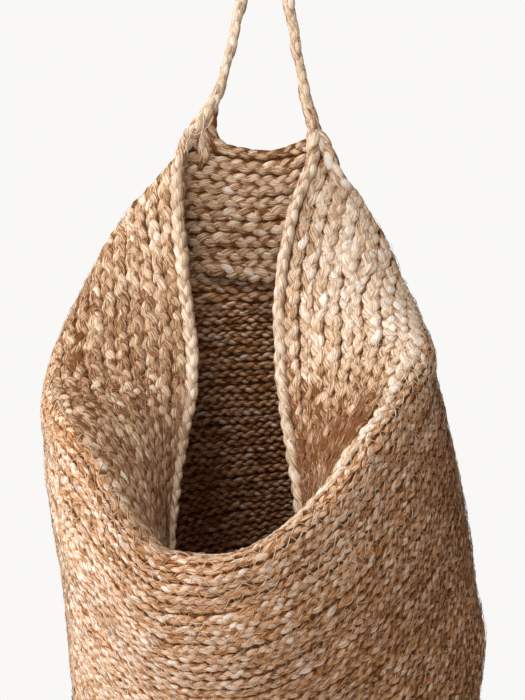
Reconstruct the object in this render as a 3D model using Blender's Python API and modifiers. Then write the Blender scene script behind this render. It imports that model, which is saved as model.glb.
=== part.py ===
"""Hanging storage basket of coiled hemp braid, hung by one strap loop.

The wall is one long three-strand braid wound round and sewn course to course.
Its upper courses are of a thicker braid and are folded inward over a U-shaped
lip at the front and sides, so that only the back stands up to the strap.
Metres, +Z up. The origin is the underside of the strap's loop, where it hangs.
"""
import math

import bpy
import numpy as np
from mathutils import Matrix, Vector

for item in list(bpy.data.objects):
    bpy.data.objects.remove(item, do_unlink=True)

# Driving sizes
basket_radius = 0.175
wall_thickness = 0.0068
base_thickness = 0.0072
base_edge_round = 0.0020
rim_braid_radius = 0.0050
strap_radius = 0.0052
tail_radius = 0.0046
handle_height = 0.1670
seat_gap = 0.0003
rim_seat_gap = 0.0007
lip_seat_gap = 0.0008

# Counts and angles
cuff_courses = 11
body_courses = 41
around_count = 72
base_side_count = 96
hang_angle = math.radians(11.8)
base_tilt = math.radians(36.6)
base_roll = math.radians(11.0)

# Places of the courses on the slumped wall, as shares of basket_radius in a frame that
# stands at the strap's roots: x to the right, y to the back, z up. The stations follow
# the wall round from the middle of the back to the left. In each, the points go from
# the rim over the middle of the turned-in cuff and the lip to the upper and middle body.
station_shares = (
    # back middle
    ((-0.023, 0.034, -0.097), (-0.023, 0.04, -0.411), (-0.023, 0.046, -0.731),
     (-0.011, 0.126, -0.96), (0.011, 0.331, -1.55)),
    # back, left of the middle
    ((-0.2, 0.034, -0.063), (-0.366, 0.057, -0.423), (-0.503, 0.069, -0.754),
     (-0.514, 0.149, -0.983), (-0.48, 0.354, -1.6)),
    # left root of the strap
    ((-0.389, 0, -0.046), (-0.709, 0.023, -0.434), (-0.863, 0, -0.817),
     (-0.857, 0.057, -1.06), (-0.789, 0.217, -1.71)),
    # left shoulder
    ((-0.411, -0.137, -0.429), (-0.743, -0.149, -0.674), (-0.989, -0.263, -0.994),
     (-1.01, -0.229, -1.25), (-0.949, -0.057, -1.89)),
    # left side, widest
    ((-0.337, -0.429, -1.07), (-0.697, -0.48, -1.11), (-1.01, -0.56, -1.2),
     (-1.03, -0.56, -1.45), (-0.954, -0.429, -2.13)),
    # left side, turning to the front
    ((-0.349, -0.56, -1.28), (-0.646, -0.743, -1.26), (-0.943, -0.857, -1.28),
     (-0.954, -0.926, -1.52), (-0.886, -0.743, -2.31)),
    # left end of the lip
    ((-0.383, -0.657, -1.43), (-0.594, -0.914, -1.37), (-0.846, -1.09, -1.37),
     (-0.891, -1.14, -1.6), (-0.8, -0.96, -2.43)),
    # lip, left slope
    ((-0.423, -0.811, -1.71), (-0.543, -1.05, -1.57), (-0.714, -1.23, -1.55),
     (-0.754, -1.3, -1.78), (-0.64, -1.14, -2.54)),
    # lip, lower left
    ((-0.434, -0.943, -2), (-0.491, -1.16, -1.8), (-0.589, -1.34, -1.75),
     (-0.606, -1.42, -1.98), (-0.48, -1.25, -2.64)),
    # lip, left of its low point
    ((-0.389, -1.07, -2.26), (-0.411, -1.25, -1.97), (-0.457, -1.41, -1.87),
     (-0.457, -1.47, -2.1), (-0.331, -1.31, -2.7)),
    # lip, low point
    ((-0.257, -1.16, -2.39), (-0.274, -1.3, -2.06), (-0.286, -1.46, -1.88),
     (-0.286, -1.51, -2.12), (-0.194, -1.35, -2.72)),
    # lip, low point
    ((-0.114, -1.18, -2.42), (-0.126, -1.31, -2.09), (-0.143, -1.47, -1.87),
     (-0.126, -1.52, -2.11), (-0.046, -1.36, -2.73)),
    # lip, right of its low point
    ((0.023, -1.16, -2.37), (0.023, -1.29, -2.03), (0.011, -1.45, -1.81),
     (0.046, -1.5, -2.05), (0.114, -1.34, -2.71)),
    # lip, lower right
    ((0.126, -1.09, -2.23), (0.149, -1.24, -1.91), (0.16, -1.39, -1.71),
     (0.217, -1.43, -1.95), (0.297, -1.27, -2.64)),
    # lip, right slope
    ((0.189, -0.949, -1.94), (0.251, -1.12, -1.71), (0.32, -1.29, -1.58),
     (0.389, -1.33, -1.82), (0.491, -1.17, -2.54)),
    # lip, upper right slope
    ((0.177, -0.829, -1.71), (0.309, -1.02, -1.53), (0.446, -1.19, -1.41),
     (0.537, -1.2, -1.63), (0.657, -1.04, -2.4)),
    # right end of the lip
    ((0.131, -0.64, -1.43), (0.377, -0.857, -1.3), (0.589, -1.02, -1.23),
     (0.686, -1.01, -1.44), (0.829, -0.846, -2.23)),
    # right side, widest
    ((0.086, -0.446, -1.1), (0.446, -0.617, -1.04), (0.749, -0.714, -1.01),
     (0.811, -0.674, -1.2), (0.989, -0.457, -1.97)),
    # right shoulder
    ((0.086, -0.263, -0.731), (0.446, -0.331, -0.743), (0.743, -0.411, -0.88),
     (0.8, -0.366, -1.09), (0.96, -0.171, -1.78)),
    # right side, upper
    ((0.16, -0.097, -0.331), (0.554, -0.114, -0.503), (0.714, -0.126, -0.789),
     (0.766, -0.069, -1.02), (0.903, 0.091, -1.66)),
    # right root of the strap
    ((0.274, -0.006, -0.036), (0.491, 0.046, -0.343), (0.594, 0.051, -0.731),
     (0.629, 0.103, -0.96), (0.709, 0.274, -1.57)),
    # back, right of the middle
    ((0.137, 0.029, -0.074), (0.229, 0.046, -0.411), (0.32, 0.051, -0.72),
     (0.331, 0.131, -0.943), (0.377, 0.331, -1.53)),
)

# Courses on which those points lie, counted from the rim
station_courses = (0, 5.5, 11, 16.6, 31.3, 52)
# How far the wall runs over the lip for each course, as a share of basket_radius
lip_run_share = 0.05

# Centre of the flat base, and how far the hook lies to the side, as shares of basket_radius
base_centre_shares = (0.074, -0.143, -2.92)
hook_side_share = 0.019

# Strap's centreline above its roots: to the side as a share of basket_radius, because
# the roots stand on the rim, and up as a share of handle_height
strap_shares = (
    (-0.345, 0.000),
    (-0.322, 0.032),
    (-0.273, 0.110),
    (-0.230, 0.190),
    (-0.172, 0.380),
    (-0.102, 0.720),
    (-0.063, 0.895),
    (-0.040, 0.960),
    (-0.011, 0.992),
    (0.020, 1.000),
    (0.052, 0.992),
    (0.080, 0.960),
    (0.102, 0.895),
    (0.129, 0.720),
    (0.178, 0.400),
    (0.215, 0.190),
    (0.238, 0.085),
    (0.252, 0.000),
)
# Rounded ends of the strap: how far past the root and how wide, as shares of its radius
strap_end_shares = ((0.50, 0.866), (0.87, 0.50), (0.98, 0.20))

# Where the rim braid and the back rim braid end, as shares of the way round
rim_start_share = 0.0478
left_root_share = 0.0520
rim_end_share = 0.9615
back_rim_left_share = 0.0375
back_rim_right_share = -0.0285

# Rows of the two shells, as shares of their courses
cuff_row_shares = (0, 0.09, 0.21, 0.34, 0.47, 0.60, 0.72, 0.82, 0.90, 0.96, 1)
body_row_shares = (0, 0.016, 0.036, 0.062, 0.10, 0.16, 0.24, 0.34, 0.45, 0.56, 0.67, 0.78, 0.89, 1)

# Columns added to the cuff over the two stretches where it turns forward at a root
turn_way_shares = ((0.034, 0.146), (0.864, 0.976))
turn_columns = 20

# End of the thick braid, laid slantwise over the back wall inside: way round and course
tail_shares = ((-0.016, 0.985), (0.004, 0.965), (0.024, 0.945), (0.042, 0.93))


def collection(name):
    made = bpy.data.collections.new(name)
    bpy.context.scene.collection.children.link(made)
    return made


basket = collection("hanging_hemp_basket")


def material(name, colour, roughness):
    made = bpy.data.materials.new(name)
    made.use_nodes = True
    shader = made.node_tree.nodes["Principled BSDF"]
    shader.inputs["Base Color"].default_value = (*colour, 1)
    shader.inputs["Roughness"].default_value = roughness
    shader.inputs["Metallic"].default_value = 0
    return made


def mesh_object(name, points, faces, colour, roughness):
    mesh = bpy.data.meshes.new(name)
    mesh.from_pydata([tuple(point) for point in points], [], faces)
    mesh.update()
    made = bpy.data.objects.new(name, mesh)
    made.data.materials.append(material(name + "_fibre", colour, roughness))
    basket.objects.link(made)
    return made


def tube_object(name, points, radii, resolution, colour, roughness):
    curve = bpy.data.curves.new(name, "CURVE")
    curve.dimensions = "3D"
    curve.bevel_depth = max(radii)
    curve.bevel_resolution = resolution
    curve.use_fill_caps = True
    curve.twist_mode = "MINIMUM"
    spline = curve.splines.new("POLY")
    spline.points.add(len(points) - 1)
    for place, point, radius in zip(spline.points, points, radii):
        place.co = (*point, 1)
        place.radius = radius / max(radii)
    made = bpy.data.objects.new(name, curve)
    made.data.materials.append(material(name + "_fibre", colour, roughness))
    basket.objects.link(made)
    return made


# The flat base: its centre, its outward normal and the two directions in it
base_centre = np.array(base_centre_shares) * basket_radius
base_side = np.array([math.cos(base_roll), 0, math.sin(base_roll)])
base_normal = np.array([0, math.sin(base_tilt), -math.cos(base_tilt)])
base_normal -= (base_normal @ base_side) * base_side
base_normal /= np.linalg.norm(base_normal)
base_forward = np.cross(base_side, base_normal)
base_forward *= -math.copysign(1, base_forward[1])


def base_edge(share):
    """Point on the base circle, a share of the way round from the back."""
    angle = 2 * math.pi * share
    outward = -base_side * math.sin(angle) - base_forward * math.cos(angle)
    return base_centre + basket_radius * outward


stations = np.array(station_shares) * basket_radius
belly_steps = np.linalg.norm(np.roll(stations[:, -1], -1, 0) - stations[:, -1], axis=1)
belly_way = np.concatenate([[0], np.cumsum(belly_steps)[:-1]]) / belly_steps.sum()
bottoms = np.array([base_edge(share) for share in belly_way])
stations = np.concatenate([stations, bottoms[:, None]], 1)
knots = np.array(station_courses, float)


def knot_slope(index):
    if index == 0:
        return (stations[:, 1] - stations[:, 0]) / (knots[1] - knots[0])
    if index == len(knots) - 1:
        return (stations[:, -1] - stations[:, -2]) / (knots[-1] - knots[-2])
    before = knots[index] - knots[index - 1]
    after = knots[index + 1] - knots[index]
    if knots[index] == cuff_courses:
        across = stations[:, index + 1] - stations[:, index - 1]
        across /= np.linalg.norm(across, axis=1, keepdims=True)
        return across * lip_run_share * basket_radius
    rise = (stations[:, index] - stations[:, index - 1]) / before
    fall = (stations[:, index + 1] - stations[:, index]) / after
    return (rise * after + fall * before) / (before + after)


def course_stations(course):
    """The points of one course at every station, on smooth curves down the wall."""
    low = min(max(int(np.searchsorted(knots, course, side="right")) - 1, 0), len(knots) - 2)
    step = knots[low + 1] - knots[low]
    t = (course - knots[low]) / step
    start = knot_slope(low) * step
    end = knot_slope(low + 1) * step
    return (
        (2 * t**3 - 3 * t**2 + 1) * stations[:, low]
        + (t**3 - 2 * t**2 + t) * start
        + (3 * t**2 - 2 * t**3) * stations[:, low + 1]
        + (t**3 - t**2) * end
    )


def closed_course(points, count):
    """One course as a smooth closed loop, with even steps from the middle of the back."""
    pieces = []
    total = len(points)
    for index in range(total):
        p0, p1, p2, p3 = (points[(index + shift) % total] for shift in (-1, 0, 1, 2))
        d1 = np.linalg.norm(p1 - p0) ** 0.5
        d2 = np.linalg.norm(p2 - p1) ** 0.5
        d3 = np.linalg.norm(p3 - p2) ** 0.5
        leave = ((p1 - p0) / d1 - (p2 - p0) / (d1 + d2) + (p2 - p1) / d2) * d2
        reach = ((p2 - p1) / d2 - (p3 - p1) / (d2 + d3) + (p3 - p2) / d3) * d2
        t = np.linspace(0, 1, 12, endpoint=False)[:, None]
        pieces.append(
            (2 * t**3 - 3 * t**2 + 1) * p1
            + (t**3 - 2 * t**2 + t) * leave
            + (3 * t**2 - 2 * t**3) * p2
            + (t**3 - t**2) * reach
        )
    path = np.concatenate(pieces)
    for _ in range(10):
        path = 0.25 * np.roll(path, 1, 0) + 0.5 * path + 0.25 * np.roll(path, -1, 0)
    steps = np.linalg.norm(np.roll(path, -1, 0) - path, axis=1)
    way = np.concatenate([[0], np.cumsum(steps)])
    wanted = np.linspace(0, way[-1], count, endpoint=False)
    path = np.vstack([path, path[:1]])
    return np.stack([np.interp(wanted, way, path[:, axis]) for axis in range(3)], 1)


grid_columns = around_count * 3
total_courses = cuff_courses + body_courses
fine_grid = np.array([
    closed_course(course_stations(course), grid_columns)
    for course in np.linspace(0, total_courses, 4 * total_courses + 1)
])
for _ in range(8):
    fine_grid[1:-1] = 0.25 * fine_grid[:-2] + 0.5 * fine_grid[1:-1] + 0.25 * fine_grid[2:]
down_steps = np.linalg.norm(fine_grid[1:] - fine_grid[:-1], axis=2)
down_way = np.vstack([np.zeros(grid_columns), np.cumsum(down_steps, 0)])
lip_way = down_way[4 * cuff_courses]
foot_way = down_way[-1]


def wall_point(share, course):
    """Middle of the wall at a share of the way round and a course from the rim."""
    place = (share % 1) * grid_columns
    first = int(place) % grid_columns
    mix = place - int(place)
    found = np.zeros(3)
    for column, weight in ((first, 1 - mix), ((first + 1) % grid_columns, mix)):
        if course <= cuff_courses:
            way = lip_way[column] * course / cuff_courses
        else:
            rest = (course - cuff_courses) / body_courses
            way = lip_way[column] + (foot_way[column] - lip_way[column]) * rest
        for axis in range(3):
            line = fine_grid[:, column, axis]
            found[axis] += weight * np.interp(way, down_way[:, column], line)
    return found


def wall_normal(share, course):
    """Direction out of the wall's outer face."""
    low = max(course - 0.3, 0)
    high = min(course + 0.3, total_courses)
    along = wall_point(share + 0.003, course) - wall_point(share - 0.003, course)
    down = wall_point(share, high) - wall_point(share, low)
    normal = np.cross(along, down)
    return normal / np.linalg.norm(normal)


# The strap's rounded ends stand on the rim braid, and the hinge runs through their centres
strap_seat = rim_braid_radius + seat_gap + strap_end_shares[-1][0] * strap_radius
hinge = wall_point(left_root_share, 0) * np.array([0, 1, 1]) + np.array([0, 0, strap_seat])
hinge_drop = handle_height - strap_radius
turn = np.array(Matrix.Rotation(hang_angle, 3, "X"))


def hung(point):
    """From the frame at the roots to the hanging frame, turned to hang in balance."""
    shift = np.array([-hook_side_share * basket_radius, 0, -hinge_drop])
    return turn @ (np.asarray(point) - hinge) + shift


def course_pitch(share, course):
    """Distance straight across from one course to the next."""
    along = wall_point(share + 0.003, course) - wall_point(share - 0.003, course)
    low = max(course - 0.3, 0)
    down = wall_point(share, course + 0.3) - wall_point(share, low)
    across = np.linalg.norm(np.cross(along, down)) / np.linalg.norm(along)
    return across / (course + 0.3 - low)


def cuff_start(share):
    """First course place at which the wall's whole thickness clears the rim braid."""
    course = rim_braid_radius / course_pitch(share, 0)
    half = wall_thickness / 2
    clear = rim_braid_radius + rim_seat_gap
    while course < 2:
        middle = wall_point(share, course)
        normal = wall_normal(share, course)
        sides = (middle + normal * half, middle, middle - normal * half)
        nearest = min(np.linalg.norm(rim_line - side, axis=1).min() for side in sides)
        if nearest >= clear:
            break
        course += 0.01
    return course


def shell_object(name, column_shares, top_course, foot_course, row_shares, colour, on_base):
    """One closed shell of the wall between two courses, as thick as the braid."""
    columns = []
    for share in column_shares:
        top = top_course(share)
        foot = foot_course(share)
        outer = []
        inner = []
        for row_share in row_shares:
            course = top + (foot - top) * row_share
            middle = wall_point(share, course)
            at_lip = abs(course - cuff_courses) * course_pitch(share, course) < 2 * seat_gap
            normal = wall_normal(share, cuff_courses if at_lip else course)
            outer.append(middle + normal * wall_thickness / 2)
            inner.append(middle - normal * wall_thickness / 2)
        if on_base:
            plane = base_centre @ base_normal - base_thickness / 2 - seat_gap
            for side in (outer, inner):
                lean = side[-1] - side[-2]
                side[-1] = side[-2] + lean * (plane - side[-2] @ base_normal) / (lean @ base_normal)
        columns.append(outer + inner[::-1])
    ring = len(columns[0])
    points = [hung(point) for column in columns for point in column]
    faces = []
    for column in range(len(columns)):
        beside = (column + 1) % len(columns)
        for row in range(ring):
            below = (row + 1) % ring
            faces.append((beside * ring + row, beside * ring + below,
                          column * ring + below, column * ring + row))
    return mesh_object(name, points, faces, colour, 0.95)


even_columns = [column / around_count for column in range(around_count)]
cuff_columns = [
    share for share in even_columns
    if not any(low - 0.004 < share < high + 0.004 for low, high in turn_way_shares)
]
for low, high in turn_way_shares:
    cuff_columns += [low + (high - low) * step / (turn_columns - 1) for step in range(turn_columns)]
cuff_columns.sort()
rim_line = np.array([wall_point(share, 0) for share in np.linspace(0, 1, 12 * around_count)])

# Turned-in cuff: thick braid, from under the rim braid to the lip
shell_object(
    "upper_cuff", cuff_columns,
    cuff_start,
    lambda share: cuff_courses - lip_seat_gap / 2 / course_pitch(share, cuff_courses - 0.5),
    cuff_row_shares, (0.66, 0.50, 0.33), False,
)

# Body wall: thin braid, from the lip down to the base
shell_object(
    "lower_wall", even_columns,
    lambda share: cuff_courses + lip_seat_gap / 2 / course_pitch(share, cuff_courses + 0.5),
    lambda share: total_courses,
    body_row_shares, (0.60, 0.42, 0.26), True,
)

# Flat base: the coil's first turns
bpy.ops.mesh.primitive_cylinder_add(
    vertices=base_side_count,
    radius=basket_radius + wall_thickness / 2 + base_edge_round,
    depth=base_thickness,
)
base = bpy.context.active_object
base.name = "base_coil"
base.data.name = "base_coil"
for owner in list(base.users_collection):
    owner.objects.unlink(base)
basket.objects.link(base)
base_up = turn @ (-base_normal)
base_right = turn @ base_side
base_ahead = np.cross(base_up, base_right)
place = Matrix((
    (base_right[0], base_ahead[0], base_up[0], 0),
    (base_right[1], base_ahead[1], base_up[1], 0),
    (base_right[2], base_ahead[2], base_up[2], 0),
    (0, 0, 0, 1),
))
base.data.transform(Matrix.Translation(Vector(hung(base_centre))) @ place)
base.data.materials.append(material("base_coil_fibre", (0.56, 0.40, 0.25), 0.95))
rounding = base.modifiers.new("edge", "BEVEL")
rounding.width = base_edge_round
rounding.segments = 2
rounding.limit_method = "ANGLE"
rounding.angle_limit = math.radians(40)

# Rim braid: the first course, from root to root round the front
rim_ways = np.linspace(rim_start_share, rim_end_share, 120)
tube_object(
    "rim_braid",
    [hung(wall_point(share, 0)) for share in rim_ways],
    [rim_braid_radius] * len(rim_ways), 3, (0.70, 0.55, 0.38), 0.95,
)

# Back rim braid: the same course between the roots
back_ways = np.linspace(back_rim_right_share, back_rim_left_share, 20)
tube_object(
    "back_rim_braid",
    [hung(wall_point(share, 0)) for share in back_ways],
    [rim_braid_radius] * len(back_ways), 3, (0.60, 0.45, 0.30), 0.95,
)

# Strap loop: one rolled braid from the left root over the hook to the right root
strap = np.array([(side * basket_radius, 0, up * handle_height) for side, up in strap_shares])
strap_line = []
for index in range(len(strap) - 1):
    before = strap[max(index - 1, 0)]
    after = strap[min(index + 2, len(strap) - 1)]
    for t in (0, 1 / 3, 2 / 3):
        near = strap[index]
        far = strap[index + 1]
        strap_line.append(
            (2 * t**3 - 3 * t**2 + 1) * near + (t**3 - 2 * t**2 + t) * (far - before) / 2
            + (3 * t**2 - 2 * t**3) * far + (t**3 - t**2) * (after - near) / 2
        )
strap_line.append(strap[-1])
strap_radii = [strap_radius] * len(strap_line)
for past, wide in strap_end_shares:
    drop = np.array([0, 0, past * strap_radius])
    strap_line.insert(0, strap[0] - drop)
    strap_line.append(strap[-1] - drop)
    strap_radii.insert(0, wide * strap_radius)
    strap_radii.append(wide * strap_radius)
strap_shift = np.array([-hook_side_share * basket_radius, 0, -hinge_drop])
tube_object(
    "handle_loop",
    [point + strap_shift for point in strap_line],
    strap_radii, 3, (0.70, 0.55, 0.38), 0.92,
)

# End of the thick braid, laid slantwise on the inside of the back wall and sewn down
tail_line = []
for step in range(12):
    along = step / 11 * (len(tail_shares) - 1)
    index = min(int(along), len(tail_shares) - 2)
    mix = along - index
    share = tail_shares[index][0] * (1 - mix) + tail_shares[index + 1][0] * mix
    course = (tail_shares[index][1] * (1 - mix) + tail_shares[index + 1][1] * mix) * cuff_courses
    rise = wall_thickness / 2 + seat_gap + tail_radius
    tail_line.append(hung(wall_point(share, course) - wall_normal(share, course) * rise))
tube_object(
    "thick_braid_tail", tail_line,
    [tail_radius * wide for wide in (0.55, 0.85) + (1,) * 8 + (0.85, 0.55)],
    3, (0.64, 0.48, 0.31), 0.95,
)
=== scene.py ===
import math

import bpy
import numpy as np
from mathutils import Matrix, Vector


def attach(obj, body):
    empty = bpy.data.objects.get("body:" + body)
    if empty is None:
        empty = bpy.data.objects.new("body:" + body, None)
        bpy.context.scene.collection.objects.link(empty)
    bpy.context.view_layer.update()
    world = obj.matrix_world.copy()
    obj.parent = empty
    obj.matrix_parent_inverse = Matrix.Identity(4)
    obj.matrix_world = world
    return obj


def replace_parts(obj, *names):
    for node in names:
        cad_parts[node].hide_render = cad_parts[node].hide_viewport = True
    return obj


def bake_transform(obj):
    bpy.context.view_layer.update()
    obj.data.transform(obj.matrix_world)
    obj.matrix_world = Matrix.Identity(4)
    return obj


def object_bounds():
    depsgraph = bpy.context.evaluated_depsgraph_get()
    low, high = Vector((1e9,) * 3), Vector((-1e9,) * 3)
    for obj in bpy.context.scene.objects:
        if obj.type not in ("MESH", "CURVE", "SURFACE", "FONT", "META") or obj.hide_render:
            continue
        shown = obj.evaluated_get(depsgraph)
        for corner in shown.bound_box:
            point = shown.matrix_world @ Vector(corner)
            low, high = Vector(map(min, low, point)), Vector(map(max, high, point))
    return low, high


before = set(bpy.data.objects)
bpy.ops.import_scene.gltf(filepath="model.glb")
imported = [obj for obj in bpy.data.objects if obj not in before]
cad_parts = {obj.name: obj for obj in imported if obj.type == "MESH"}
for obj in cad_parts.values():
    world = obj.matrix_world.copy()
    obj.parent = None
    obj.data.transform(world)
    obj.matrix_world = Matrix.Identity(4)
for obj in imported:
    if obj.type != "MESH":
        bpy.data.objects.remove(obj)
cad_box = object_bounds()

# Slumped wall. The basket was wound as a straight round wall of hemp plait, sewn
# course to course. Hung by one loop at the back of its rim, it has slumped, and its
# upper courses are turned inward over a U-shaped lip. Every piece follows this form.
basket_radius = 0.175
wall_thickness = 0.0068
handle_height = 0.1670
strap_radius = 0.0052
rim_braid_radius = 0.0050
seat_gap = 0.0003
strap_end_share = 0.98
left_root_share = 0.0520
cuff_courses = 11
body_courses = 41
total_courses = cuff_courses + body_courses
hang_angle = math.radians(11.8)
base_tilt = math.radians(36.6)
base_roll = math.radians(11.0)

# Places as shares of basket_radius, from the strap's roots: x right, y back, z up.
# Each station goes from the rim over mid cuff and lip to the upper and middle body.
station_shares = (
    # back middle
    ((-0.023, 0.034, -0.097), (-0.023, 0.04, -0.411), (-0.023, 0.046, -0.731),
     (-0.011, 0.126, -0.96), (0.011, 0.331, -1.55)),
    # back, left of the middle
    ((-0.2, 0.034, -0.063), (-0.366, 0.057, -0.423), (-0.503, 0.069, -0.754),
     (-0.514, 0.149, -0.983), (-0.48, 0.354, -1.6)),
    # left root of the strap
    ((-0.389, 0, -0.046), (-0.709, 0.023, -0.434), (-0.863, 0, -0.817),
     (-0.857, 0.057, -1.06), (-0.789, 0.217, -1.71)),
    # left shoulder
    ((-0.411, -0.137, -0.429), (-0.743, -0.149, -0.674), (-0.989, -0.263, -0.994),
     (-1.01, -0.229, -1.25), (-0.949, -0.057, -1.89)),
    # left side, widest
    ((-0.337, -0.429, -1.07), (-0.697, -0.48, -1.11), (-1.01, -0.56, -1.2),
     (-1.03, -0.56, -1.45), (-0.954, -0.429, -2.13)),
    # left side, turning to the front
    ((-0.349, -0.56, -1.28), (-0.646, -0.743, -1.26), (-0.943, -0.857, -1.28),
     (-0.954, -0.926, -1.52), (-0.886, -0.743, -2.31)),
    # left end of the lip
    ((-0.383, -0.657, -1.43), (-0.594, -0.914, -1.37), (-0.846, -1.09, -1.37),
     (-0.891, -1.14, -1.6), (-0.8, -0.96, -2.43)),
    # lip, left slope
    ((-0.423, -0.811, -1.71), (-0.543, -1.05, -1.57), (-0.714, -1.23, -1.55),
     (-0.754, -1.3, -1.78), (-0.64, -1.14, -2.54)),
    # lip, lower left
    ((-0.434, -0.943, -2), (-0.491, -1.16, -1.8), (-0.589, -1.34, -1.75),
     (-0.606, -1.42, -1.98), (-0.48, -1.25, -2.64)),
    # lip, left of its low point
    ((-0.389, -1.07, -2.26), (-0.411, -1.25, -1.97), (-0.457, -1.41, -1.87),
     (-0.457, -1.47, -2.1), (-0.331, -1.31, -2.7)),
    # lip, low point
    ((-0.257, -1.16, -2.39), (-0.274, -1.3, -2.06), (-0.286, -1.46, -1.88),
     (-0.286, -1.51, -2.12), (-0.194, -1.35, -2.72)),
    # lip, low point
    ((-0.114, -1.18, -2.42), (-0.126, -1.31, -2.09), (-0.143, -1.47, -1.87),
     (-0.126, -1.52, -2.11), (-0.046, -1.36, -2.73)),
    # lip, right of its low point
    ((0.023, -1.16, -2.37), (0.023, -1.29, -2.03), (0.011, -1.45, -1.81),
     (0.046, -1.5, -2.05), (0.114, -1.34, -2.71)),
    # lip, lower right
    ((0.126, -1.09, -2.23), (0.149, -1.24, -1.91), (0.16, -1.39, -1.71),
     (0.217, -1.43, -1.95), (0.297, -1.27, -2.64)),
    # lip, right slope
    ((0.189, -0.949, -1.94), (0.251, -1.12, -1.71), (0.32, -1.29, -1.58),
     (0.389, -1.33, -1.82), (0.491, -1.17, -2.54)),
    # lip, upper right slope
    ((0.177, -0.829, -1.71), (0.309, -1.02, -1.53), (0.446, -1.19, -1.41),
     (0.537, -1.2, -1.63), (0.657, -1.04, -2.4)),
    # right end of the lip
    ((0.131, -0.64, -1.43), (0.377, -0.857, -1.3), (0.589, -1.02, -1.23),
     (0.686, -1.01, -1.44), (0.829, -0.846, -2.23)),
    # right side, widest
    ((0.086, -0.446, -1.1), (0.446, -0.617, -1.04), (0.749, -0.714, -1.01),
     (0.811, -0.674, -1.2), (0.989, -0.457, -1.97)),
    # right shoulder
    ((0.086, -0.263, -0.731), (0.446, -0.331, -0.743), (0.743, -0.411, -0.88),
     (0.8, -0.366, -1.09), (0.96, -0.171, -1.78)),
    # right side, upper
    ((0.16, -0.097, -0.331), (0.554, -0.114, -0.503), (0.714, -0.126, -0.789),
     (0.766, -0.069, -1.02), (0.903, 0.091, -1.66)),
    # right root of the strap
    ((0.274, -0.006, -0.036), (0.491, 0.046, -0.343), (0.594, 0.051, -0.731),
     (0.629, 0.103, -0.96), (0.709, 0.274, -1.57)),
    # back, right of the middle
    ((0.137, 0.029, -0.074), (0.229, 0.046, -0.411), (0.32, 0.051, -0.72),
     (0.331, 0.131, -0.943), (0.377, 0.331, -1.53)),
)
station_courses = (0, 5.5, 11, 16.6, 31.3, 52)
lip_run_share = 0.05
base_centre_shares = (0.074, -0.143, -2.92)
hook_side_share = 0.019


def unit(vectors):
    return vectors / np.linalg.norm(vectors, axis=-1, keepdims=True)


base_centre = np.array(base_centre_shares) * basket_radius
base_side = np.array([math.cos(base_roll), 0, math.sin(base_roll)])
base_normal = np.array([0, math.sin(base_tilt), -math.cos(base_tilt)])
base_normal = unit(base_normal - (base_normal @ base_side) * base_side)
base_forward = np.cross(base_side, base_normal)
base_forward *= -math.copysign(1, base_forward[1])

stations = np.array(station_shares) * basket_radius
belly_steps = np.linalg.norm(np.roll(stations[:, -1], -1, 0) - stations[:, -1], axis=1)
foot_way = np.concatenate([[0], np.cumsum(belly_steps)[:-1]]) / belly_steps.sum()
foot_turn = 2 * math.pi * foot_way[:, None]
foot_points = base_centre - basket_radius * (
    base_side * np.sin(foot_turn) + base_forward * np.cos(foot_turn)
)
stations = np.concatenate([stations, foot_points[:, None]], 1)
knots = np.array(station_courses, float)


def knot_slope(index):
    """How the wall runs through one of the courses that the stations give."""
    if index == 0:
        return (stations[:, 1] - stations[:, 0]) / (knots[1] - knots[0])
    if index == len(knots) - 1:
        return (stations[:, -1] - stations[:, -2]) / (knots[-1] - knots[-2])
    if knots[index] == cuff_courses:
        across = unit(stations[:, index + 1] - stations[:, index - 1])
        return across * lip_run_share * basket_radius
    before = knots[index] - knots[index - 1]
    after = knots[index + 1] - knots[index]
    rise = (stations[:, index] - stations[:, index - 1]) / before
    fall = (stations[:, index + 1] - stations[:, index]) / after
    return (rise * after + fall * before) / (before + after)


def smooth_between(start, end, leave, reach, t):
    return (
        (2 * t**3 - 3 * t**2 + 1) * start
        + (t**3 - 2 * t**2 + t) * leave
        + (3 * t**2 - 2 * t**3) * end
        + (t**3 - t**2) * reach
    )


def course_stations(course):
    low = min(max(int(np.searchsorted(knots, course, side="right")) - 1, 0), len(knots) - 2)
    step = knots[low + 1] - knots[low]
    t = (course - knots[low]) / step
    return smooth_between(
        stations[:, low], stations[:, low + 1],
        knot_slope(low) * step, knot_slope(low + 1) * step, t,
    )


def rounded_loop(points, steps):
    """A smooth closed curve through the points, with as many steps from each to the next."""
    t = np.linspace(0, 1, steps, endpoint=False)[:, None]
    stretches = []
    for index in range(len(points)):
        p0, p1, p2, p3 = (points[(index + shift) % len(points)] for shift in (-1, 0, 1, 2))
        d1, d2, d3 = (np.linalg.norm(b - a) ** 0.5 for a, b in ((p0, p1), (p1, p2), (p2, p3)))
        leave = ((p1 - p0) / d1 - (p2 - p0) / (d1 + d2) + (p2 - p1) / d2) * d2
        reach = ((p2 - p1) / d2 - (p3 - p1) / (d2 + d3) + (p3 - p2) / d3) * d2
        stretches.append(smooth_between(p1, p2, leave, reach, t))
    return np.concatenate(stretches)


def resampled(line, at, wanted):
    """Points of the line at the wanted places, where at has the places of its own points."""
    return np.stack([np.interp(wanted, at, line[:, axis]) for axis in range(3)], 1)


def eased(line, rounds):
    """The line with its corners eased in each round. Its two ends stay."""
    for _ in range(rounds):
        line[1:-1] = 0.25 * line[:-2] + 0.5 * line[1:-1] + 0.25 * line[2:]
    return line


wall_columns = 720
rows_per_course = 4
steps_between_stations = 12
course_rounds = 10
column_rounds = 8


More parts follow.
